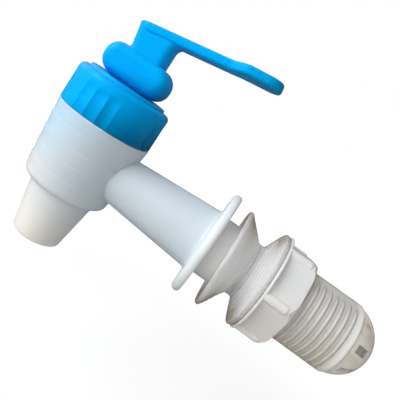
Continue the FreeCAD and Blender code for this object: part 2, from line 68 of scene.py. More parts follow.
MERGED_WITHIN_M = 1e-7
SHORTEST_EDGE_M = 1e-8
FIXED_BODY = "body"

Array = np.ndarray
Socket = bpy.types.NodeSocket
Colour = tuple[float, float, float]
Way = tuple[float, float, float]
Point = tuple[float, float, float]
Corner = tuple[float, float, float]

WHITE: Colour = (1.0, 1.0, 1.0)
BLACK: Colour = (0.0, 0.0, 0.0)
EVEN: Way = (1.0, 1.0, 1.0)
ALONG_SHANK: Way = (1.0, 0.0, 0.0)
UP_BARREL: Way = (0.0, 0.0, 1.0)


class Axis(Enum):
    """The axis that a round piece is turned about."""

    SHANK = "shank"
    BARREL = "barrel"


# Surfaces as functions of two parameters


def rounded_outline(corners: list[Corner], steps: int) -> Array:
    """Closed outline whose corners are tangent arcs.

    An arc of size s at a corner with half-angle h starts s / tan h before the corner and ends as far
    after it; its points lie s from the centre, which is s / sin h from the corner on the bisector.

    Args:
        corners: (a, b, s) of each corner, s being zero for a sharp one.
        steps: points on each arc.

    Returns:
        The outline's points as an (n, 2) array.
    """
    places = np.array([corner[:2] for corner in corners], float)
    pieces: list[Array] = []
    for index, (_, _, size) in enumerate(corners):
        here = places[index]
        if size <= 0.0:
            pieces.append(here[None])
            continue
        back = places[index - 1] - here
        ahead = places[(index + 1) % len(places)] - here
        back /= np.linalg.norm(back)
        ahead /= np.linalg.norm(ahead)
        half = math.acos(float(np.clip(back @ ahead, -1.0, 1.0))) / 2.0
        bisector = (back + ahead) / np.linalg.norm(back + ahead)
        centre = here + bisector * size / math.sin(half)
        start = here + back * size / math.tan(half) - centre
        end = here + ahead * size / math.tan(half) - centre
        share = np.linspace(0.0, 1.0, steps)[:, None]
        sweep = math.pi - 2.0 * half
        arc = (np.sin((1.0 - share) * sweep) * start + np.sin(share * sweep) * end) / math.sin(sweep)
        pieces.append(centre + arc)
    return np.concatenate(pieces)


def divided(outline: Array, longest: float) -> tuple[Array, Array]:
    """Closed outline with its long stretches cut into equal parts no longer than a length.

    Args:
        outline: the (n, 2) points.
        longest: the longest stretch allowed.

    Returns:
        The first and the second coordinate of all points, each as an (m, 1) column.
    """
    after = np.roll(outline, -1, axis=0)
    spans = np.linalg.norm(after - outline, axis=1)
    parts = np.maximum(1, np.ceil(spans / longest).astype(int))
    start = np.repeat(outline, parts, axis=0)
    end = np.repeat(after, parts, axis=0)
    first = np.repeat(np.cumsum(parts) - parts, parts)
    share = (np.arange(parts.sum()) - first) / np.repeat(parts, parts)
    points = start + (end - start) * share[:, None]
    return points[:, :1], points[:, 1:]


def turned(along: Array, radius: Array, angle: Array, axis: Axis) -> Array:
    """Points round an axis, with angle zero facing the viewer along -Y.

    On the shank's axis a point is (a, -r cos t, r sin t). On the barrel's axis it is
    (-40 + r sin t, -r cos t, a).

    Args:
        along: distance along the axis.
        radius: distance from the axis.
        angle: turn from the viewer's side, in radians.
        axis: the axis turned about.

    Returns:
        Points with a last dimension of three.
    """
    across = -radius * np.cos(angle)
    side = radius * np.sin(angle)
    if axis is Axis.SHANK:
        return np.stack(np.broadcast_arrays(along, across, side), axis=-1)
    return np.stack(np.broadcast_arrays(BARREL_X + side, across, along), axis=-1)


def around(count: int) -> Array:
    """Equal angles of one whole turn, as a row."""
    return np.linspace(0.0, TURN, count, endpoint=False)[None]


def smooth_step(value: Array, low: float, high: float) -> Array:
    """Rise from 0 at low to 1 at high as 3 s^2 - 2 s^3 of the share s between them."""
    share = np.clip((value - low) / (high - low), 0.0, 1.0)
    return share * share * (3.0 - 2.0 * share)


def grid_quads(rows: int, columns: int, rows_join: bool) -> Array:
    """Quads between the neighbours of a grid of points whose every row is a closed loop.

    Args:
        rows: rows of points.
        columns: points in a row.
        rows_join: whether the last row joins the first.

    Returns:
        Point indices as an (n, 4) array.
    """
    index = np.arange(rows * columns).reshape(rows, columns)
    below = np.roll(index, -1, axis=0)
    quads = np.stack([index, np.roll(index, -1, 1), np.roll(below, -1, 1), below], axis=-1)
    return (quads if rows_join else quads[:-1]).reshape(-1, 4)


def capped(sections: Array) -> Array:
    """Sections of a tube with one more at each end, drawn together at that end's middle.

    Args:
        sections: (rows, columns, 3) points, one closed section in each row.

    Returns:
        The grid with its two closing rows.
    """
    shape = (1, *sections.shape[1:])
    first = np.broadcast_to(sections[:1].mean(axis=1, keepdims=True), shape)
    last = np.broadcast_to(sections[-1:].mean(axis=1, keepdims=True), shape)
    return np.concatenate([first, sections, last])


def signed_volume(points: Array, quads: Array) -> float:
    """Volume inside closed quads, a sixth of the sum of p0 . (p1 x p2) over their triangles.

    Args:
        points: (n, 3) points.
        quads: (m, 4) point indices.

    Returns:
        The volume, which is below zero where the quads face inwards.
    """
    corners = points[quads]
    first = np.einsum("ij,ij->i", corners[:, 0], np.cross(corners[:, 1], corners[:, 2]))
    second = np.einsum("ij,ij->i", corners[:, 0], np.cross(corners[:, 2], corners[:, 3]))
    return float((first.sum() + second.sum()) / 6.0)


def filled_mesh(
    name: str, grid: Array, rows_join: bool, crease_deg: float = CREASE_DEG,
) -> bpy.types.Object:
    """Object from a grid of points, with its faces outwards and its poles closed.

    Args:
        name: the piece's name.
        grid: (rows, columns, 3) points in millimetres, each row a closed loop.
        rows_join: whether the last row joins the first.
        crease_deg: edges sharper than this stay sharp.

    Returns:
        The new object, linked to the scene at the origin.
    """
    points = grid.reshape(-1, 3)
    quads = grid_quads(*grid.shape[:2], rows_join)
    if signed_volume(points, quads) < 0.0:
        quads = quads[:, ::-1]
    mesh = bpy.data.meshes.new(name)
    mesh.vertices.add(len(points))
    mesh.vertices.foreach_set("co", (points * MM).astype(np.float32).ravel())
    mesh.loops.add(quads.size)
    mesh.loops.foreach_set("vertex_index", quads.astype(np.int32).ravel())
    mesh.polygons.add(len(quads))
    mesh.polygons.foreach_set("loop_start", np.arange(0, quads.size, 4, dtype=np.int32))
    mesh.update(calc_edges=True)
    joined = bmesh.new()
    joined.from_mesh(mesh)
    bmesh.ops.remove_doubles(joined, verts=joined.verts, dist=MERGED_WITHIN_M)
    bmesh.ops.dissolve_degenerate(joined, edges=joined.edges, dist=SHORTEST_EDGE_M)
    joined.to_mesh(mesh)
    joined.free()
    mesh.shade_smooth()
    mesh.set_sharp_from_angle(angle=math.radians(crease_deg))
    piece = bpy.data.objects.new(name, mesh)
    bpy.context.scene.collection.objects.link(piece)
    return piece


# Finishes


@dataclass(frozen=True)
class Grain:
    """A cloudy pattern: its cells in a metre, octaves, used range, and scale along each axis."""

    per_metre: float
    detail: float = 3.0
    low: float = 0.3
    high: float = 0.7
    scale: Way = EVEN


@dataclass(frozen=True)
class Peel:
    """Fine unevenness of a skin: its pattern, how much of it shows, and its height."""

    grain: Grain
    strength: float
    height: float


@dataclass(frozen=True)
class Zone:
    """A part of a moulding given another colour, reached over a distance along a way; many zones are
    painted light and painted shade.
    """

    colour: Colour
    way: Way
    start: float
    end: float


class Sheet:
    """The node tree of a material or the world, with short ways to add and join its nodes."""

    film_from: float = 0.25
    film_full: float = 0.9
    film_lines: float = 0.15

    def __init__(self, owner: bpy.types.Material | bpy.types.World) -> None:
        """Empty the owner's node tree.

        Args:
            owner: the new material or world.
        """
        owner.use_nodes = True
        self.owner = owner
        self.tree = owner.node_tree
        self.tree.nodes.clear()

    def fill(self, place: Socket, value: object) -> None:
        """Join an output to an input, or set the input to a plain value.

        Args:
            place: the input.
            value: the output or the value.
        """
        if isinstance(value, Socket):
            self.tree.links.new(value, place)
        else:
            place.default_value = value

    def add(
        self, kind: str, options: dict[str, object] | None = None, **sockets: object,
    ) -> bpy.types.Node:
        """Add a node and fill its inputs.

        Args:
            kind: the node's type name, after its common start.
            options: the node's own settings.
            sockets: values or outputs for its inputs, by name with underscores for spaces, or by
                number from _0.

        Returns:
            The new node.
        """
        node = self.tree.nodes.new(f"ShaderNode{kind}")
        for key, value in (options or {}).items():
            setattr(node, key, value)
        for key, value in sockets.items():
            place = int(key[1:]) if key[1:].isdigit() else key.replace("_", " ")
            self.fill(node.inputs[place], value)
        return node

    def reckon(self, operation: str, *values: object, clamp: bool = False) -> Socket:
        """Number worked out from other numbers.

        Args:
            operation: the Math node's operation.
            values: numbers or outputs, in the order of the node's inputs.
            clamp: whether the result is held between 0 and 1.

        Returns:
            The result.
        """
        node = self.add("Math", {"operation": operation, "use_clamp": clamp})
        for place, value in zip(node.inputs, values):
            self.fill(place, value)
        return node.outputs[0]

    def place(self) -> Socket:
        """Object coordinates, in metres in the part's frame."""
        return self.add("TexCoord").outputs["Object"]

    def length(self, vector: Socket) -> Socket:
        """Length of a vector."""
        return self.add("VectorMath", {"operation": "LENGTH"}, _0=vector).outputs["Value"]

    def reach(self, vector: Socket, way: Way) -> Socket:
        """How far a vector reaches along a way."""
        return self.add("VectorMath", {"operation": "DOT_PRODUCT"}, _0=vector, _1=way).outputs["Value"]

    def noise(self, grain: Grain) -> Socket:
        """Draw a grain.

        Args:
            grain: the pattern.

        Returns:
            Its own value, from 0 to 1.
        """
        mapped = self.add("Mapping", Vector=self.place(), Scale=grain.scale).outputs[0]
        made = self.add("TexNoise", Vector=mapped, Scale=grain.per_metre, Detail=grain.detail)
        return made.outputs["Fac"]

    def ranged(
        self, value: Socket, low: float, high: float, start: float = 0.0, end: float = 1.0,
    ) -> Socket:
        """Value carried from the range low..high to start..end.

        Args:
            value: the value to carry.
            low: where the range starts.
            high: where the range ends.
            start: what low becomes.
            end: what high becomes.

        Returns:
            The new value, held between start and end.
        """
        return self.add("MapRange", _0=value, _1=low, _2=high, _3=start, _4=end).outputs[0]

    def cloud(self, grain: Grain, start: float = 0.0, end: float = 1.0) -> Socket:
        """A grain's value with its used range carried to start..end."""
        return self.ranged(self.noise(grain), grain.low, grain.high, start, end)

    def towards(self, zone: Zone) -> Socket:
        """Share from 0 where a zone starts to 1 where it is reached."""
        return self.ranged(self.reach(self.place(), zone.way), zone.start * MM, zone.end * MM)

    def blend(self, share: Socket, first: Colour | Socket, second: Colour | Socket) -> Socket:
        """Colour between two colours.

        Args:
            share: 0 for the first and 1 for the second.
            first: colour or colour output.
            second: colour or colour output.

        Returns:
            The mixed colour.
        """
        node = self.add("Mix", {"data_type": "RGBA"}, Factor=share)
        for key, value in (("A", first), ("B", second)):
            place = next(s for s in node.inputs if s.name == key and s.type == "RGBA")
            self.fill(place, value if isinstance(value, Socket) else (*value, 1.0))
        return next(s for s in node.outputs if s.type == "RGBA")

    def relief(self, level: Socket, strength: float, height: float) -> Socket:
        """Surface normal from a level.

        Args:
            level: the level from 0 to 1.
            strength: how much of it shows.
            height: how high level 1 stands, in millimetres.

        Returns:
            The normal.
        """
        return self.add("Bump", Strength=strength, Distance=height * MM, Height=level).outputs[0]

    def peel(self, peel: Peel) -> Socket:
        """Surface normal of a skin's fine unevenness."""
        return self.relief(self.noise(peel.grain), peel.strength, peel.height)

    def film(self, thin: float, lines: Socket | float = 0.0) -> Socket:
        """Cover of a see-through wall, which hides more where it is seen along its length.

        The cover grows from film_from to film_full of the turn from square on to edge on.

        Args:
            thin: its cover where it is seen square on.
            lines: places from 0 to 1 where it covers a little more.

        Returns:
            The cover, from thin to 1.
        """
        edge = self.add("LayerWeight", Blend=0.5).outputs["Facing"]
        cover = self.ranged(edge, self.film_from, self.film_full, thin, 1.0)
        return self.reckon("MULTIPLY_ADD", lines, self.film_lines, cover, clamp=True)

    def finish(self, **sockets: object) -> bpy.types.Material:
        """Put one principled shader on the surface.

        Args:
            sockets: its inputs, with underscores for spaces.

        Returns:
            The material.
        """
        shader = self.add("BsdfPrincipled", **sockets)
        self.add("OutputMaterial", Surface=shader.outputs[0])
        return self.owner


def shaded(colour: Colour, share: float) -> Colour:
    """Darker colour, each part of it times a share."""
    return tuple(share * part for part in colour)


@dataclass(frozen=True)
class MilkyPlastic:
    """Unpigmented moulding that light sinks into, with another colour in each of its zones, many of
    them painted light and painted shade.

    Clouds move each zone's share up or down by sway of itself, and thin streaks along the shank are
    a little darker.
    """

    name: str
    cool: Colour
    zones: tuple[Zone, ...]
    ior: float = 1.45
    shine: float = 0.35
    gloss: float = 0.34
    smoother: float = 0.05
    rougher: float = 0.07
    polish: Grain = Grain(260.0)
    clouds: Grain = Grain(90.0)
    sway: float = 0.12
    streaks: Grain = Grain(420.0, 4.0, 0.35, 0.7, (0.25, 1.0, 1.0))
    streak_share: float = 0.1
    streak_shade: float = 0.9
    peel: Peel = Peel(Grain(700.0), 0.10, 0.08)
    sink: float = 0.6
    sink_depth: float = 3.0
    sink_spread: Colour = (1.0, 0.95, 0.9)

    def material(self) -> bpy.types.Material:
        """Build the node tree.

        Returns:
            The material.
        """
        sheet = Sheet(bpy.data.materials.new(self.name))
        sway = sheet.cloud(self.clouds, -self.sway, self.sway)
        skin = self.cool
        for zone in self.zones:
            way = sheet.towards(zone)
            skin = sheet.blend(sheet.reckon("MULTIPLY_ADD", way, sway, way), skin, zone.colour)
        streak = sheet.cloud(self.streaks, 0.0, self.streak_share)
        return sheet.finish(
            Base_Color=sheet.blend(streak, skin, shaded(self.cool, self.streak_shade)),
            Roughness=sheet.cloud(self.polish, self.gloss - self.smoother, self.gloss + self.rougher),
            Normal=sheet.peel(self.peel), IOR=self.ior, Specular_IOR_Level=self.shine,
            Subsurface_Weight=self.sink, Subsurface_Radius=self.sink_spread,
            Subsurface_Scale=self.sink_depth * MM,
        )


@dataclass(frozen=True)
class DyedPlastic:
    """Glossy moulding dyed through, with faint flow clouds, and painted shade in its zones."""

    name: str
    colour: Colour
    deep: Colour
    zones: tuple[Zone, ...]
    clouds: Grain = Grain(120.0, 3.0, 0.35, 0.7)
    cloud_share: float = 0.5
    ior: float = 1.45
    gloss: float = 0.28
    shine: float = 0.22
    shine_tint: Colour = (0.1, 0.7, 1.0)
    sink: float = 0.1
    sink_depth: float = 0.8
    sink_spread: Colour = (0.1, 0.6, 1.0)

    def material(self) -> bpy.types.Material:
        """Build the node tree.

        Returns:
            The material.
        """
        sheet = Sheet(bpy.data.materials.new(self.name))
        colour = sheet.blend(sheet.cloud(self.clouds, 0.0, self.cloud_share), self.colour, self.deep)
        for zone in self.zones:
            colour = sheet.blend(sheet.towards(zone), colour, zone.colour)
        return sheet.finish(
            Base_Color=colour, Roughness=self.gloss, IOR=self.ior, Specular_IOR_Level=self.shine,
            Specular_Tint=(*self.shine_tint, 1.0), Subsurface_Weight=self.sink,
            Subsurface_Radius=self.sink_spread, Subsurface_Scale=self.sink_depth * MM,
        )


@dataclass(frozen=True)
class ClearSilicone:
    """Greyish see-through silicone with fine rings moulded about the shank's axis.

    From lip_from to lip_to out from the axis it is painted with its darker lip colour, as shade where
    the seal is seen edge on:
    fully within a first distance of the plane across the line of sight, and only lip_at_sides of it
    beyond a second distance.
    """

    name: str
    tint: Colour
    lip: Colour
    clear: float
    thin: float = 1.0
    ior: float = 1.41
    gloss: float = 0.3
    clouds: Grain = Grain(150.0)
    cloud_shade: float = 0.92
    ring_pitch: float = 0.55
    ring_strength: float = 0.35
    ring_height: float = 0.05
    lip_from: float = 8.5
    lip_to: float = 11.5
    sight_line: Way = (0.0, 0.97, -0.25)
    full_shade_within: float = 6.0
    sides: float = 11.0
    lip_at_sides: float = 0.1
    sink: float = 0.8
    sink_depth: float = 4.0
    sink_spread: Colour = WHITE

    def material(self) -> bpy.types.Material:
        """Build the node tree.

        Returns:
            The material.
        """
        sheet = Sheet(bpy.data.materials.new(self.name))
        apart = sheet.add("SeparateXYZ", Vector=sheet.place()).outputs
        out = sheet.add("CombineXYZ", Y=apart["Y"], Z=apart["Z"]).outputs[0]
        radius = sheet.length(out)
        phase = sheet.reckon("MULTIPLY", radius, TURN / (self.ring_pitch * MM))
        rings = sheet.ranged(sheet.reckon("SINE", phase), -1.0, 1.0)
        skin = sheet.blend(sheet.cloud(self.clouds), self.tint, shaded(self.tint, self.cloud_shade))
        # Painted shade: the lip colour darkens the seal's outer part most where it is seen edge on.
        outwards = sheet.ranged(radius, self.lip_from * MM, self.lip_to * MM)
        aside = sheet.reckon("ABSOLUTE", sheet.reach(out, self.sight_line))
        near = sheet.ranged(aside, self.full_shade_within * MM, self.sides * MM, 1.0, self.lip_at_sides)
        return sheet.finish(
            Base_Color=sheet.blend(sheet.reckon("MULTIPLY", outwards, near), skin, self.lip),
            Roughness=self.gloss, Normal=sheet.relief(rings, self.ring_strength, self.ring_height),
            IOR=self.ior, Alpha=sheet.film(self.thin, rings), Transmission_Weight=self.clear,
            Subsurface_Weight=self.sink, Subsurface_Radius=self.sink_spread,
            Subsurface_Scale=self.sink_depth * MM,
        )


@dataclass(frozen=True)
class ClearPlastic:
    """Clear hard moulding with a slight haze and long streaks where it flowed into its mould."""

    name: str
    tint: Colour
    streak: Colour
    clear: float
    thin: float
    gloss: float
    ior: float = 1.49
    hazier: float = 0.16
    haze: Grain = Grain(200.0, 3.0, 0.3, 0.75)
    flow: Grain = Grain(420.0, 2.0, 0.42, 0.66, (0.15, 1.0, 1.0))
    peel: Peel = Peel(Grain(500.0, 2.0), 0.15, 0.08)

    def material(self) -> bpy.types.Material:
        """Build the node tree.

        Returns:
            The material.
        """
        sheet = Sheet(bpy.data.materials.new(self.name))
        return sheet.finish(
            Base_Color=sheet.blend(sheet.cloud(self.flow), self.tint, self.streak),
            Roughness=sheet.cloud(self.haze, self.gloss, self.gloss + self.hazier),
            Normal=sheet.peel(self.peel), IOR=self.ior, Transmission_Weight=self.clear,
            Alpha=sheet.film(self.thin),
        )


@dataclass(frozen=True)
class DrawnSteel:
    """Drawn stainless wire with fine lines along it."""

    name: str
    colour: Colour
    gloss: float = 0.32
    smoother: float = 0.08
    rougher: float = 0.1
    lines: Peel = Peel(Grain(1500.0, 3.0, 0.3, 0.7, (1.0, 1.0, 0.3)), 0.1, 0.02)

    def material(self) -> bpy.types.Material:
        """Build the node tree.

        Returns:
            The material.
        """
        sheet = Sheet(bpy.data.materials.new(self.name))
        smooth, rough = self.gloss - self.smoother, self.gloss + self.rougher
        return sheet.finish(
            Base_Color=(*self.colour, 1.0), Metallic=1.0, Normal=sheet.peel(self.lines),
            Roughness=sheet.cloud(self.lines.grain, smooth, rough),
        )


Finish = MilkyPlastic | DyedPlastic | ClearSilicone | ClearPlastic | DrawnSteel

WHITE_BODY = MilkyPlastic("milky_body", (0.64, 0.71, 0.76), (
    # The spout, painted warmer towards its end as warm light from below, and the barrel's top, with the
    # blue light of the cap painted into it.
    Zone((0.90, 0.86, 0.80), (-0.45, 0.0, -0.89), 21.0, 38.0),
    Zone((0.50, 0.71, 0.87), (-0.6, 0.0, 0.8), 24.0, 37.0),
    # The flange and the start of the shank, painted lighter against the flange's shadow; the shank
    # behind it; the shank's underside, in painted warm shade; and the thick rim at its end.
    Zone((0.99, 0.99, 0.98), ALONG_SHANK, -4.0, 1.0),
    Zone((0.70, 0.67, 0.62), ALONG_SHANK, 7.0, 24.0),
    # Painted warm shade on the shank's underside.
    Zone((0.68, 0.57, 0.47), (0.5, 0.0, -0.87), 12.0, 28.0),
    Zone((0.95, 0.92, 0.86), ALONG_SHANK, 37.5, 39.0),
))
WHITE_NUT = MilkyPlastic("milky_nut", (0.80, 0.80, 0.80), (
    # The nut's underside, in painted warm shade.
    Zone((0.80, 0.75, 0.69), (0.2, 0.0, -0.98), -2.0, 16.0),
))
WHITE_STEM = MilkyPlastic("white_stem", (0.8, 0.82, 0.84), (
    # The stem's upper part.
    Zone((0.8, 0.78, 0.75), UP_BARREL, 0.0, 30.0),
))
CAP_BLUE = DyedPlastic("blue_plastic", (0.0, 0.43, 0.95), (0.0, 0.37, 0.88), (
    # The cap's low side, towards the shank, darkened as painted shade.
    Zone((0.0, 0.13, 0.30), (0.45, 0.0, -0.89), -31.5, -22.5),
))
LEVER_BLUE = DyedPlastic("lever_plastic", CAP_BLUE.colour, CAP_BLUE.deep, (
    # Painted shade: the paddle's end darker, and the underside of the foot darker still.
    Zone((0.0, 0.31, 0.62), ALONG_SHANK, -20.0, -7.0),
    Zone((0.0, 0.2, 0.5), (0.3, 0.0, -0.95), -35.5, -31.0),
))
# The seal's brown lip colour is painted shade where the seal is seen edge on.
SEAL = ClearSilicone("seal_silicone", WHITE, (0.48, 0.43, 0.37), clear=0.1, thin=0.55)
PLUG = ClearSilicone("plug_silicone", (0.85, 0.84, 0.82), (0.82, 0.81, 0.79), clear=0.15)
CLEAR = ClearPlastic(
    "clear_strainer", (1.0, 0.97, 0.91), (0.86, 0.77, 0.65), clear=0.1, thin=0.66, gloss=0.3,
)
STEEL = DrawnSteel("spring_steel", (0.62, 0.62, 0.64))
PIN_STEEL = DrawnSteel("pin_steel", (0.6, 0.6, 0.62), 0.26)


# Shapes of the new pieces


@dataclass(frozen=True)
class ShankThread:
    """The half-inch pipe thread on the shank, flattened where the mould parts."""

    start: float = 24.6
    end: float = 38.2
    pitch: float = 1.814
    root: float = 9.84
    crest: float = 10.24
    buried: float = 9.7
    half_width: float = 0.6
    bluntness: float = 1.3
    run_out: float = 1.0
    full_to_deg: float = 42.0
    gone_at_deg: float = 76.0
    steps_per_turn: int = 144
    section_points: int = 11
    crease_deg: float = 60.0

    def piece(self) -> bpy.types.Object:
        """Carry a rounded ridge along a helix.

        At turn t the ridge's middle is at x = start + pitch t / turn. Across it, v from -1 to 1 gives
        the height h cos(pi v / 2) to the power of its bluntness. h falls from the full height near -Y
        and +Y to nothing near +Z and -Z, where the mould's halves meet, and over run_out radians at
        both ends of the helix.

        Returns:
            The thread.
        """
        turns = (self.end - self.start) / self.pitch
        angle = np.linspace(0.0, TURN * turns, int(turns * self.steps_per_turn))
        from_side = np.degrees(np.arcsin(np.abs(np.sin(angle))))
        height = 1.0 - smooth_step(from_side, self.full_to_deg, self.gone_at_deg)
        begins = smooth_step(angle, 0.0, self.run_out)
        ends = begins * smooth_step(angle[-1] - angle, 0.0, self.run_out)
        height = height * ends * (self.crest - self.root)
        across = np.linspace(-1.0, 1.0, self.section_points)
        rise = np.cos(np.pi * across / 2.0) ** self.bluntness
        middle = self.start + self.pitch * angle / TURN
        ridge = middle[:, None] + self.half_width * across
        radius = self.root + height[:, None] * rise
        feet = middle[:, None] + self.half_width * np.array([1.0, -1.0])
        under = np.full((len(angle), 2), self.buried)
        along = np.concatenate([ridge, feet], 1)
        points = turned(along, np.concatenate([radius, under], 1), angle[:, None], Axis.SHANK)
        return filled_mesh("shank_thread", capped(points), False, self.crease_deg)


@dataclass(frozen=True)
class CapShape:
    """The bonnet cap: a turned section with groups of shallow grip flutes in its side."""

    bottom: float = 9.95
    radius: float = 13.0
    shoulder_radius: float = 12.85
    shoulder: float = 20.2
    shoulder_round: float = 1.3
    land_radius: float = 10.7
    land_round: float = 0.4
    edge_round: float = 0.35
    top: float = 21.05
    guide: float = 2.96
    guide_round: float = 0.15
    boss: float = 4.4
    boss_bottom: float = 16.5
    ceiling: float = 18.8
    pocket: float = 6.6
    clamp: float = 16.35
    bore: float = 10.95
    ridges_deg: tuple[float, ...] = (-23.4, -8.5, 6.8, 20.2)
    groups: int = 4
    flute_depth: float = 0.42
    flute_top: float = 17.6
    flute_fade: float = 0.9
    still_wall: float = 0.5
    moved_wall: float = 1.4
    arc_steps: int = 7
    longest: float = 0.6
    segments: int = 720

    def flute(self, angle: Array) -> Array:
        """Depth share of the flutes at an angle.

        Between two neighbouring ridges the depth is 1 - (2u - 1)^2 of the share u of the way from one
        to the next, and outside a group it is nothing. The groups repeat round the cap.

        Args:
            angle: turn from the viewer's side, in radians.

        Returns:
            The share from 0 to 1.
        """
        sector = 360.0 / self.groups
        local = (np.degrees(angle) + sector / 2.0) % sector - sector / 2.0
        share = np.zeros_like(angle)
        for low, high in zip(self.ridges_deg, self.ridges_deg[1:]):
            way = (local - low) / (high - low)
            inside = (way > 0.0) & (way < 1.0)
            share = np.where(inside, 1.0 - (2.0 * way - 1.0) ** 2, share)
        return share

    def piece(self) -> bpy.types.Object:
        """Turn the section about the barrel and press the flutes into its side.

        The bore's wall stays where it is up to still_wall from the bore, and what lies moved_wall or
        more from it is pressed in by the whole depth.

        Returns:
            The cap.
        """
        outline = rounded_outline([
            (self.bottom, self.bore, 0.0),
            (self.bottom, self.radius, self.edge_round),
            (self.shoulder, self.shoulder_radius, self.shoulder_round),
            (self.shoulder, self.land_radius, self.edge_round),
            (self.top, self.land_radius, self.land_round),
            (self.top, self.guide, self.guide_round),
            (self.boss_bottom, self.guide, 0.0),
            (self.boss_bottom, self.boss, 0.0),
            (self.ceiling, self.boss, 0.0),
            (self.ceiling, self.pocket, 0.0),
            (self.clamp, self.pocket, 0.0),
            (self.clamp, self.bore, 0.0),
        ], self.arc_steps)
        along, radius = divided(outline, self.longest)
        angle = around(self.segments)
        outer = smooth_step(radius, self.bore + self.still_wall, self.bore + self.moved_wall)
        low_part = 1.0 - smooth_step(along, self.flute_top - self.flute_fade, self.flute_top)
        sunk = radius - self.flute_depth * outer * low_part * self.flute(angle)
        return filled_mesh("bonnet_cap_fluted", turned(along, sunk, angle, Axis.BARREL), True)


@dataclass(frozen=True)
class SealShape:
    """A flared seal, from its small end outwards, with fine rings moulded on its flank."""

    name: str
    small_end: float
    way: float
    flare: float
    tilt: float = 0.0
    sag: float = 0.0
    collar: float = 1.0
    collar_radius: float = 7.65
    collar_round: float = 0.4
    small_round: float = 0.3
    bore: float = 6.65
    bore_round: float = 0.15
    mouth: float = 13.76
    wall: float = 1.2
    lip: float = 0.5
    ring_pitch: float = 1.15
    ring_height: float = 0.09
    rings_begin: float = 0.3
    rings_fade: float = 1.3
    rings_gone: float = 0.7
    back_share: float = 0.3
    arc_steps: int = 6
    longest: float = 0.12
    segments: int = 240
    crease_deg: float = 55.0

    def piece(self) -> bpy.types.Object:
        """Turn the section about the shank and lift fine rings out of its flank.

        The rings lift the flank's back by h (1 - cos(turn r / pitch)) / 2 of its radius r beyond the
        collar's. They begin just outside the collar and fade from rings_fade to rings_gone short of
        the mouth. The soft mouth leans by tilt times its height and hangs by sag, more and more from
        the collar outwards.

        Returns:
            The seal.
        """
        tip = self.collar + self.flare
        outline = rounded_outline([
            (0.0, self.bore, self.bore_round),
            (0.0, self.collar_radius, self.small_round),
            (self.collar, self.collar_radius, self.collar_round),
            (tip, self.mouth, self.lip),
            (tip + self.wall, self.mouth - self.lip, self.lip),
            (self.collar + self.wall, self.bore, self.small_round),
        ], self.arc_steps)
        along, radius = divided(outline, self.longest)
        beyond = radius - self.collar_radius
        wave = 0.5 - 0.5 * np.cos(TURN * beyond / self.ring_pitch)
        flank = smooth_step(radius, self.collar_radius, self.collar_radius + self.rings_begin)
        flank *= 1.0 - smooth_step(radius, self.mouth - self.rings_fade, self.mouth - self.rings_gone)
        back = self.collar + self.flare * beyond / (self.mouth - self.collar_radius)
        on_back = along < back + self.wall * self.back_share
        along = along - np.where(on_back, self.ring_height * wave * flank, 0.0)
        angle = around(self.segments)
        points = turned(self.small_end + self.way * along, radius, angle, Axis.SHANK)
        soft = smooth_step(radius, self.collar_radius, self.mouth) * np.ones_like(angle)
        points[..., 0] += self.tilt * points[..., 2] * soft
        points[..., 2] -= self.sag * soft
        return filled_mesh(self.name, points, True, self.crease_deg)


@dataclass(frozen=True)
class SpringShape:
    """The return spring: round wire with a close turn at each end."""

    low: float = 4.65
    high: float = 18.35
    mean: float = 5.15
    wire: float = 0.45
    turns: float = 6.5
    end_turns: float = 1.0
    steps_per_turn: int = 64
    section_points: int = 14

    def piece(self) -> bpy.types.Object:
        """Carry a circle along a helix whose end turns lie close.

        The wire's height rises by its own thickness over each end turn and evenly between them. Its
        section lies across the radius and the height.

        Returns:
            The spring.
        """
        turn = np.linspace(0.0, self.turns, int(self.turns * self.steps_per_turn))
        close = 2.0 * self.wire
        knots = [0.0, self.end_turns, self.turns - self.end_turns, self.turns]
        height = np.interp(turn, knots, [self.low, self.low + close, self.high - close, self.high])
        section = around(self.section_points)
        along = height[:, None] + self.wire * np.sin(section)
        radius = self.mean + self.wire * np.cos(section)
        points = turned(along, radius, (turn * TURN)[:, None], Axis.BARREL)
        return filled_mesh("return_spring_coil", capped(points), False)


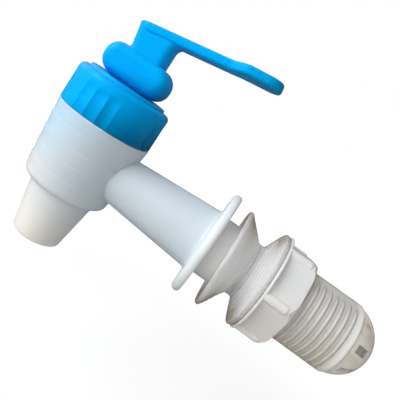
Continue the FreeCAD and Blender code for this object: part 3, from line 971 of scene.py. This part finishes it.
@dataclass(frozen=True)
class PlugShape:
    """The silicone plug with its bell and clamped rim, closed at its foot."""

    bottom: float = -8.45
    top: float = -5.25
    plug: float = 6.1
    plug_flare: float = 0.3
    rim_bottom: float = 15.05
    rim_top: float = 16.3
    rim: float = 10.6
    bell_top: float = 8.8
    wall: float = 0.95
    edge_round: float = 0.3
    neck_hole: float = 2.95
    pocket: float = 3.75
    pocket_floor: float = -7.45
    pocket_top: float = -5.98
    folds: int = 7
    fold_height: float = 0.12
    folds_begin: float = 0.5
    folds_full: float = 2.0
    folds_outside: float = 5.0
    arc_steps: int = 5
    longest: float = 0.5
    segments: int = 160

    def piece(self) -> bpy.types.Object:
        """Turn the section about the barrel, with shallow waves down the bell.

        The waves add h sin(turn n s) to the radius, for n folds and the share s of the bell's height.
        They grow from folds_begin to folds_full off each end, and only what lies outside
        folds_outside moves.

        Returns:
            The plug.
        """
        foot = self.plug + self.plug_flare
        outline = rounded_outline([
            (self.bottom, 0.0, 0.0),
            (self.bottom, self.plug, self.edge_round),
            (self.top, foot, self.edge_round),
            (self.rim_bottom, self.bell_top, self.edge_round),
            (self.rim_bottom, self.rim, self.edge_round),
            (self.rim_top, self.rim, self.edge_round),
            (self.rim_top, self.bell_top - self.wall, 0.0),
            (self.top, foot - self.wall, 0.0),
            (self.top, self.neck_hole, 0.0),
            (self.pocket_top, self.neck_hole, 0.0),
            (self.pocket_top, self.pocket, 0.0),
            (self.pocket_floor, self.pocket, 0.0),
            (self.pocket_floor, 0.0, 0.0),
        ], self.arc_steps)
        along, radius = divided(outline, self.longest)
        bell = smooth_step(along, self.top + self.folds_begin, self.top + self.folds_full)
        upper = (self.rim_bottom - self.folds_full, self.rim_bottom - self.folds_begin)
        bell = bell * (1.0 - smooth_step(along, *upper))
        share = (along - self.top) / (self.rim_bottom - self.top)
        wave = np.sin(TURN * self.folds * share)
        radius = radius + self.fold_height * wave * bell * (radius > self.folds_outside)
        points = turned(along, radius, around(self.segments), Axis.BARREL)
        return filled_mesh("diaphragm_plug_bell", points, True)


# Sub-assemblies


@dataclass
class Assembly:
    """What every sub-assembly can do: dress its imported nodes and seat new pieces.

    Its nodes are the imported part's objects by name, and made holds its materials so far.
    """

    nodes: dict[str, bpy.types.Object]
    made: dict[str, bpy.types.Material] = field(default_factory=dict)

    def coat(self, piece: bpy.types.Object, finish: Finish) -> None:
        """Give a piece its finish as its only material.

        Args:
            piece: the object.
            finish: its finish.
        """
        if finish.name not in self.made:
            self.made[finish.name] = finish.material()
        slots = piece.data.materials
        if not slots:
            slots.append(self.made[finish.name])
        for index in range(len(slots)):
            slots[index] = self.made[finish.name]
        LOG.info("%s: %s, %d faces", piece.name, finish.name, len(piece.data.polygons))

    def dress(self, node: str, finish: Finish) -> None:
        """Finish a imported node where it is."""
        self.coat(self.nodes[node], finish)

    def seat(self, piece: bpy.types.Object, finish: Finish, slot: str, node: str | None = None) -> None:
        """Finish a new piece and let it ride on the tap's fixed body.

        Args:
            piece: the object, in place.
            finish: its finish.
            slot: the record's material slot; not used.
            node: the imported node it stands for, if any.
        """
        self.coat(piece, finish)
        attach(piece, FIXED_BODY)
        if node:
            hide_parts(node)


@dataclass
class TapBody(Assembly):
    """The milky body moulding and the thread on its shank."""

    thread: ShankThread = ShankThread()

    def build(self) -> None:
        """Dress the body and seat the thread."""
        self.dress("tap_body", WHITE_BODY)
        self.seat(self.thread.piece(), WHITE_BODY, "milky_body")


@dataclass
class Bonnet(Assembly):
    """The blue cap over the valve."""

    cap: CapShape = CapShape()

    def build(self) -> None:
        """Seat the fluted cap."""
        self.seat(self.cap.piece(), CAP_BLUE, "blue_gloss", "bonnet_cap")


@dataclass
class Lever(Assembly):
    """The blue lever."""

    def build(self) -> None:
        """Dress the lever."""
        self.dress("lever", LEVER_BLUE)


@dataclass
class Seals(Assembly):
    """The two flared seals that grip the edge of the container's hole, small end to small end."""

    outer: SealShape = SealShape(
        "outer_seal_ringed", small_end=10.65, way=-1.0, flare=4.6, tilt=-0.06, sag=0.55,
    )
    inner: SealShape = SealShape("inner_seal_ringed", small_end=10.75, way=1.0, flare=2.7)

    def build(self) -> None:
        """Seat both seals."""
        self.seat(self.outer.piece(), SEAL, "seal_silicone", "outer_cone_seal")
        self.seat(self.inner.piece(), SEAL, "seal_silicone", "inner_cone_seal")


@dataclass
class LockNut(Assembly):
    """The flanged hexagon nut."""

    def build(self) -> None:
        """Dress the nut."""
        self.dress("lock_nut", WHITE_NUT)


@dataclass
class Strainer(Assembly):
    """The slotted dome on the shank's end."""

    def build(self) -> None:
        """Dress the strainer."""
        self.dress("strainer", CLEAR)


@dataclass
class ValveWorks(Assembly):
    """The stem, its pin, the spring and the plug inside the barrel and the cap."""

    spring: SpringShape = SpringShape()
    plug: PlugShape = PlugShape()
    lift_range: float = 2.6

    def flatten(self, piece: bpy.types.Object, low: float, high: float) -> None:
        """Give a piece its own copy of its mesh.

        Args:
            piece: the spring or the plug.
            low: height of its lower end at rest; not used.
            high: height of its fixed end; not used.
        """
        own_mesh(piece)

    def build(self) -> None:
        """Dress the stem and the pin, and seat the spring and the plug."""
        self.dress("valve_stem", WHITE_STEM)
        self.dress("pivot_pin", PIN_STEEL)
        coil = self.spring.piece()
        self.seat(coil, STEEL, "spring_steel", "return_spring")
        self.flatten(coil, self.spring.low, self.spring.high)
        bell = self.plug.piece()
        self.seat(bell, PLUG, "plug_silicone", "diaphragm_plug")
        self.flatten(bell, self.plug.bottom, self.plug.rim_top)


# Studio


@dataclass(frozen=True)
class PhotoCamera:
    """The photograph's viewpoint, found from the outlines of the tap's round pieces."""

    place: Point = (-3.75342, -112.69532, 26.20222)
    turn_deg: tuple[float, float, float] = (78.78697, -34.64316, 9.01754)
    lens: float = 40.3261
    sensor: float = 36.0
    clip_start_m: float = 0.001
    clip_end_m: float = 10.0

    def build(self) -> None:
        """Put the camera in the scene and make it the active one."""
        data = bpy.data.cameras.new("photo_camera")
        data.lens = self.lens
        data.sensor_width = self.sensor
        data.clip_start = self.clip_start_m
        data.clip_end = self.clip_end_m
        camera = bpy.data.objects.new("photo_camera", data)
        camera.location = Vector(self.place) * MM
        camera.rotation_euler = [math.radians(part) for part in self.turn_deg]
        bpy.context.scene.collection.objects.link(camera)
        bpy.context.scene.camera = camera


@dataclass(frozen=True)
class Lamp:
    """One soft square lamp that looks at the tap's middle, in metres and watts."""

    name: str
    way: Way
    distance: float
    size: float
    power: float
    colour: Colour
    mirrored: bool = False

    def build(self, middle: Vector) -> None:
        """Hang the lamp.

        Args:
            middle: the point it looks at, in metres.
        """
        data = bpy.data.lights.new(self.name, "AREA")
        data.size = self.size
        data.energy = self.power
        data.color = self.colour
        lamp = bpy.data.objects.new(self.name, data)
        way = Vector(self.way).normalized()
        lamp.location = middle + way * self.distance
        lamp.rotation_euler = way.to_track_quat("Z", "Y").to_euler()
        lamp.visible_glossy = self.mirrored
        lamp.visible_camera = False
        bpy.context.scene.collection.objects.link(lamp)


@dataclass(frozen=True)
class Studio:
    """White surroundings, a pale floor that keeps a soft shadow, and the soft lamps.

    Reflections find the surroundings brighter towards bright_side, from side_dark at side_from to
    side_bright at side_to of the way there. The floor glows from glow_near to glow_far, between
    glow_from and glow_to from the tap.
    """

    middle: Point = (-3.0, 0.0, 9.0)
    ambient: float = 0.27
    bright_side: Way = (-0.78, -0.40, 0.48)
    side_from: float = -0.25
    side_to: float = 0.75
    side_dark: float = 0.03
    side_bright: float = 1.0
    floor_height: float = -62.0
    floor_reach: float = 3000.0
    floor_grey: Colour = (0.55, 0.55, 0.55)
    floor_reflected: float = 0.06
    glow_from: float = 120.0
    glow_to: float = 500.0
    glow_near: float = 0.60
    glow_far: float = 0.86
    lamps: tuple[Lamp, ...] = (
        Lamp("key", (-0.78, -0.52, 0.42), 0.8, 0.57, 4.9, (0.95, 0.98, 1.0), mirrored=True),
        Lamp("front", (-0.3, -0.92, 0.22), 0.5, 0.4, 0.85, (1.0, 0.98, 0.95)),
        Lamp("back", (0.4, 0.85, 0.5), 0.5, 0.35, 0.6, WHITE),
        Lamp("warm_fill", (0.55, -0.35, -0.4), 0.5, 0.4, 0.15, (1.0, 0.70, 0.46)),
        Lamp("tail_fill", (0.76, -0.43, -0.49), 0.165, 0.1, 0.05, (1.0, 0.96, 0.9)),
    )

    @staticmethod
    def shown(sheet: Sheet, mirrored: Socket | float) -> Socket:
        """Share of white that a ray finds: all of it for the camera and clear plastic, else a part.

        Args:
            sheet: the node tree to build in.
            mirrored: the share that a reflection finds.

        Returns:
            The share, which is 0 for the rays that carry light.
        """
        path = sheet.add("LightPath").outputs
        share = sheet.reckon("MULTIPLY", path["Is Glossy Ray"], mirrored)
        for ray in ("Is Camera Ray", "Is Transmission Ray"):
            share = sheet.reckon("MAXIMUM", share, path[ray])
        return share

    def surroundings(self) -> None:
        """White world for what is seen, brighter on the key lamp's side in reflections."""
        sheet = Sheet(bpy.data.worlds.new("white_room"))
        aim = sheet.reach(sheet.add("TexCoord").outputs["Generated"], self.bright_side)
        side = sheet.ranged(aim, self.side_from, self.side_to, self.side_dark, self.side_bright)
        glossy = sheet.add("LightPath").outputs["Is Glossy Ray"]
        soft = sheet.ranged(glossy, 0.0, 1.0, self.ambient, 0.0)
        strength = sheet.reckon("MAXIMUM", self.shown(sheet, side), soft)
        light = sheet.add("Background", Color=(*WHITE, 1.0), Strength=strength)
        sheet.add("OutputWorld", Surface=light.outputs[0])
        bpy.context.scene.world = sheet.owner

    def floor(self) -> None:
        """A pale floor, white where nothing shades it, that isn't there when seen from below."""
        reach, height = self.floor_reach * MM, self.floor_height * MM
        mesh = bpy.data.meshes.new("floor")
        signs = ((-1, -1), (1, -1), (1, 1), (-1, 1))
        mesh.from_pydata([(x * reach, y * reach, height) for x, y in signs], [], [(0, 1, 2, 3)])
        sheet = Sheet(bpy.data.materials.new("floor"))
        mirrored = sheet.add("LightPath").outputs["Is Glossy Ray"]
        matt = sheet.add("BsdfDiffuse", Color=sheet.blend(mirrored, self.floor_grey, BLACK))
        away = sheet.length(sheet.place())
        glow_from, glow_to = self.glow_from * MM, self.glow_to * MM
        level = sheet.ranged(away, glow_from, glow_to, self.glow_near, self.glow_far)
        strength = sheet.reckon("MULTIPLY", self.shown(sheet, self.floor_reflected), level)
        glow = sheet.add("Emission", Color=(*WHITE, 1.0), Strength=strength)
        both = sheet.add("AddShader", _0=matt.outputs[0], _1=glow.outputs[0])
        below = sheet.add("NewGeometry").outputs["Backfacing"]
        gone = sheet.add("BsdfTransparent")
        mixed = sheet.add("MixShader", _0=below, _1=both.outputs[0], _2=gone.outputs[0])
        sheet.add("OutputMaterial", Surface=mixed.outputs[0])
        mesh.materials.append(sheet.owner)
        floor = bpy.data.objects.new("floor", mesh)
        bpy.context.scene.collection.objects.link(floor)

    def build(self) -> None:
        """Set up the camera, the lamps, the world and the floor."""
        PhotoCamera().build()
        middle = Vector(self.middle) * MM
        for lamp in self.lamps:
            lamp.build(middle)
        self.surroundings()
        self.floor()
        bpy.context.scene.view_settings.view_transform = "Standard"


def main() -> None:
    """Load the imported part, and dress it."""
    logging.basicConfig(level=logging.INFO, format="%(message)s")
    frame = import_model()
    for assembly in (TapBody, Bonnet, Lever, Seals, LockNut, Strainer, ValveWorks):
        assembly(frame["nodes"]).build()
        LOG.info("%s done", assembly.__name__)
    Studio().build()


if __name__ == "__main__":
    main()
